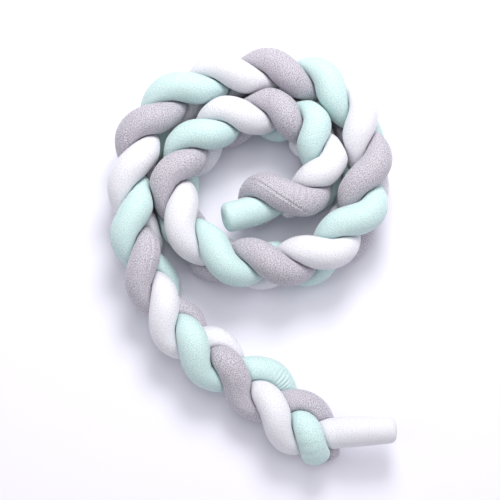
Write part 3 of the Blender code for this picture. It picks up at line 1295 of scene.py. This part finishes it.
MINT_VELVET = VelvetFinish(
    "mint_velvet",
    PileColours((0.42, 0.65, 0.63), (0.625, 0.815, 0.80), (0.85, 0.95, 0.96)),
    grain_contrast=0.65, roughness=0.62, sheen_tint=(0.95, 1.0, 1.0),
)
GREY_VELVET = VelvetFinish(
    "grey_velvet",
    PileColours((0.30, 0.265, 0.315), (0.515, 0.48, 0.545), (0.86, 0.84, 0.89)),
    grain_contrast=0.7, roughness=0.64, sheen_tint=(0.98, 0.96, 1.0),
)
WHITE_VELVET = VelvetFinish(
    "white_velvet",
    PileColours((0.66, 0.64, 0.72), (0.875, 0.865, 0.91), (0.96, 0.96, 0.98)),
    grain_contrast=0.65, roughness=0.62, sheen_tint=(1.0, 1.0, 1.0),
)
MINT_THREAD = ThreadFinish("mint_thread", (0.66, 0.88, 0.82), (0.45, 0.70, 0.62))
GREY_THREAD = ThreadFinish("grey_thread", (0.95, 0.93, 0.96), (0.78, 0.75, 0.80))
WHITE_THREAD = ThreadFinish("white_thread", (0.90, 0.90, 0.92), (0.72, 0.71, 0.76))


def seam_marks(*places: tuple[float, float]) -> tuple[SeamMark, ...]:
    """Return seam marks from pairs of a plait number and degrees."""
    return tuple(SeamMark(*place) for place in places)


def bumper_tubes() -> list[StuffedTube]:
    """Set the three tubes up.

    Returns:
        The tubes in their order in the plait.
    """
    mint = StuffedTube(
        Strand.MINT, 0, 0.95, 26.75,
        (Loose(-0.042, 0.051, 0.076), Loose(0.020, 0.075, 0.062), Loose(0.046, 0.089, 0.050)),
        (Loose(0.104, -0.326, 0.042, 0.021),),
        (
            Pull(9.2, left=-0.006), Pull(10.4, left=0.005), Pull(12, ahead=-0.003, left=-0.004),
            Pull(24, ahead=-0.003), Pull(25.5, ahead=0.006, left=0.011),
            Pull(27, -0.40, ahead=-0.006, left=-0.008),
        ),
        LongSeam(seam_marks((-1, 150), (6, 190), (15, 165), (22.5, 200), (24, 80), (25.5, 170), (28, 200))),
        MINT_VELVET, MINT_THREAD, "velvet_mint",
        (Gather(25.33, 8, 0.0018, reach_along=0.014), Gather(26.95, -40, 0.0009, 0.011, 0.022, 0.8)),
    )
    grey = StuffedTube(
        Strand.GREY, 1, 0.80, 26.80,
        (Loose(0.036, 0.068, 0.023), Loose(0.007, 0.091, 0.041), Loose(0.018, 0.102, 0.073)),
        (Loose(0.116, -0.307, 0.022, 0.023), Loose(0.122, -0.329, 0.021, 0.022)),
        (Pull(13, ahead=-0.006), Pull(25, -0.40, ahead=-0.007), Pull(26.5, -0.30, ahead=0.010, left=0.007)),
        LongSeam(seam_marks(
            (-1, 60), (0.27, 26), (0.5, -2), (0.8, -18), (1.0, -29), (1.2, -52), (1.35, -84),
            (1.8, -130), (2.6, -165), (4, -175), (8, -185), (12, -190), (16, -170), (17.5, -130),
            (18.3, -73), (18.9, -20), (19.3, -6), (20.5, 5), (21.6, 28), (22.3, 44), (23, 100),
            (24, 175), (28, 160),
        )),
        GREY_VELVET, GREY_THREAD, "velvet_grey",
        (Gather(1.24, 18, 0.0016, 0.008, 0.012, 0.45),),
    )
    white = StuffedTube(
        Strand.WHITE, 2, 1.80, 26.60,
        (Loose(0.050, 0.080, 0.038, 0.0235), Loose(0.083, 0.099, 0.064, 0.0235)),
        (Loose(0.144, -0.288, 0.059, 0.0230), Loose(0.226, -0.2845, 0.062, 0.0205)),
        (
            Pull(1.75, left=-0.008), Pull(5, ahead=0.005), Pull(23, left=0.004), Pull(24.5, -0.35),
            Pull(26, ahead=0.002, left=-0.003),
        ),
        LongSeam(seam_marks((0, 190), (8, 170), (16, 195), (24, 200), (26, 268), (28, 190))),
        WHITE_VELVET, WHITE_THREAD, "velvet_white",
    )
    return [mint, grey, white]


@dataclass(frozen=True)
class BraidedBumper:
    """The whole bumper: one plait of three tubes."""

    stations: tuple[Station, ...] = STATIONS

    def build(self, groups: ClothGroups) -> None:
        """Lay the three tubes along the plait, and make each one pressed by the others.

        Args:
            groups: The node groups that the cloths share.
        """
        route = PlaitRoute(self.stations)
        tubes = bumper_tubes()
        for tube in tubes:
            tube.lay(route)
        for tube in tubes:
            tube.neighbours = [other.line for other in tubes if other is not tube]
        self.settle(tubes)
        for tube in tubes:
            tube.build(groups)

    @staticmethod
    def settle(tubes: list[StuffedTube]) -> None:
        """Run the cloth simulation on all the tubes together, and keep how each one's cloth moved.

        Args:
            tubes: The tubes, which have been laid along the plait.
        """
        shapes = [tube.trial_rings() for tube in tubes]
        cloths = [tube.trial.hang(f"trial_{tube.slot}", *shape) for tube, shape in zip(tubes, shapes)]
        tubes[0].trial.run()
        for tube, cloth, shape in zip(tubes, cloths, shapes):
            tube.settled = tube.trial.movement(cloth, *shape)
        bpy.context.scene.frame_set(1)


@dataclass(frozen=True)
class Lamp:
    """A soft light: its bearing, height and breadth in degrees, and its strength.

    The bearing runs clockwise from straight behind. The distance is 0 for a light as far away as the sun.
    """

    name: str
    bearing: float
    height: float
    breadth: float
    strength: float
    distance: float = 0.0


@dataclass(frozen=True)
class Studio:
    """A pale floor in soft light, seen from high up in front."""

    target: tuple[float, float, float] = (0.0, 0.007, 0.045)
    distance: float = 2.2
    elevation: float = 76.0
    sensor: float = 36.0
    span: float = 0.8065
    floor_size: float = 8.0
    floor_colour: tuple[float, float, float] = (0.89, 0.875, 0.955)
    floor_roughness: float = 0.95
    floor_specular: float = 0.1
    sky_colour: tuple[float, float, float] = (0.94, 0.94, 1.0)
    sky_strength: float = 0.37
    backdrop: tuple[float, float, float] = (0.93, 0.92, 0.97)
    lamps: tuple[Lamp, ...] = (
        Lamp("key", 10, 55, 24, 1.87, 2.1),
        Lamp("high", 15, 65, 34, 0.50),
        Lamp("overhead", 0, 88, 20, 0.34),
        Lamp("right", 95, 50, 42, 0.37),
        Lamp("left", -95, 50, 42, 0.31),
    )

    def build(self) -> None:
        """Make the floor, the light and the camera."""
        self.floor()
        self.light()
        self.camera()
        bpy.context.scene.view_settings.view_transform = "Standard"

    def floor(self) -> None:
        """Lay a plain floor under the bumper."""
        mesh = bmesh.new()
        bmesh.ops.create_grid(mesh, x_segments=1, y_segments=1, size=self.floor_size / 2)
        floor = placed("floor", mesh)
        material = bpy.data.materials.new("pale_floor")
        material.use_nodes = True
        shader = material.node_tree.nodes["Principled BSDF"]
        set_inputs(shader, Base_Color=(*self.floor_colour, 1), Roughness=self.floor_roughness)
        set_inputs(shader, Specular_IOR_Level=self.floor_specular)
        floor.data.materials.append(material)

    def light(self) -> None:
        """Hang the soft lamps round the bumper, under a pale sky."""
        world = bpy.data.worlds.new("studio")
        bpy.context.scene.world = world
        world.use_nodes = True
        tree = world.node_tree
        sky = tree.nodes["Background"]
        set_inputs(sky, Color=(*self.sky_colour, 1), Strength=self.sky_strength)
        backdrop = tree.nodes.new("ShaderNodeBackground")
        set_inputs(backdrop, Color=(*self.backdrop, 1))
        seen = tree.nodes.new("ShaderNodeLightPath")
        either = tree.nodes.new("ShaderNodeMixShader")
        tree.links.new(seen.outputs["Is Camera Ray"], either.inputs["Fac"])
        tree.links.new(sky.outputs["Background"], either.inputs[1])
        tree.links.new(backdrop.outputs["Background"], either.inputs[2])
        tree.links.new(either.outputs["Shader"], tree.nodes["World Output"].inputs["Surface"])
        for lamp in self.lamps:
            self.hang(lamp)

    def hang(self, lamp: Lamp) -> None:
        """Hang one lamp and point it at the bumper.

        Args:
            lamp: The lamp.
        """
        data = bpy.data.lights.new(lamp.name, "AREA" if lamp.distance else "SUN")
        if lamp.distance:
            data.shape = "DISK"
            data.size = 2 * lamp.distance * math.tan(math.radians(lamp.breadth / 2))
            data.energy = lamp.strength * math.pi * lamp.distance ** 2
        else:
            data.angle = math.radians(lamp.breadth)
            data.energy = lamp.strength
        light = bpy.data.objects.new(lamp.name, data)
        bpy.context.scene.collection.objects.link(light)
        bearing, height = math.radians(lamp.bearing), math.radians(lamp.height)
        level = math.cos(height)
        way = Vector((math.sin(bearing) * level, math.cos(bearing) * level, math.sin(height)))
        light.location = way * lamp.distance
        light.rotation_euler = way.to_track_quat("Z", "Y").to_euler()

    def camera(self) -> None:
        """Set the camera at the photograph's angle."""
        data = bpy.data.cameras.new("camera")
        camera = bpy.data.objects.new("camera", data)
        bpy.context.scene.collection.objects.link(camera)
        rise = math.radians(self.elevation)
        back = Vector((0.0, -math.cos(rise), math.sin(rise)))
        camera.location = Vector(self.target) + back * self.distance
        camera.rotation_euler = (-back).to_track_quat("-Z", "Y").to_euler()
        data.sensor_width = self.sensor
        data.lens = self.sensor * self.distance / self.span
        bpy.context.scene.camera = camera


def main() -> None:
    """Build the bumper and its studio."""
    logging.basicConfig(level=logging.INFO, format="%(name)s %(message)s")
    BraidedBumper().build(ClothGroups())
    Studio().build()


if __name__ == "__main__":
    main()
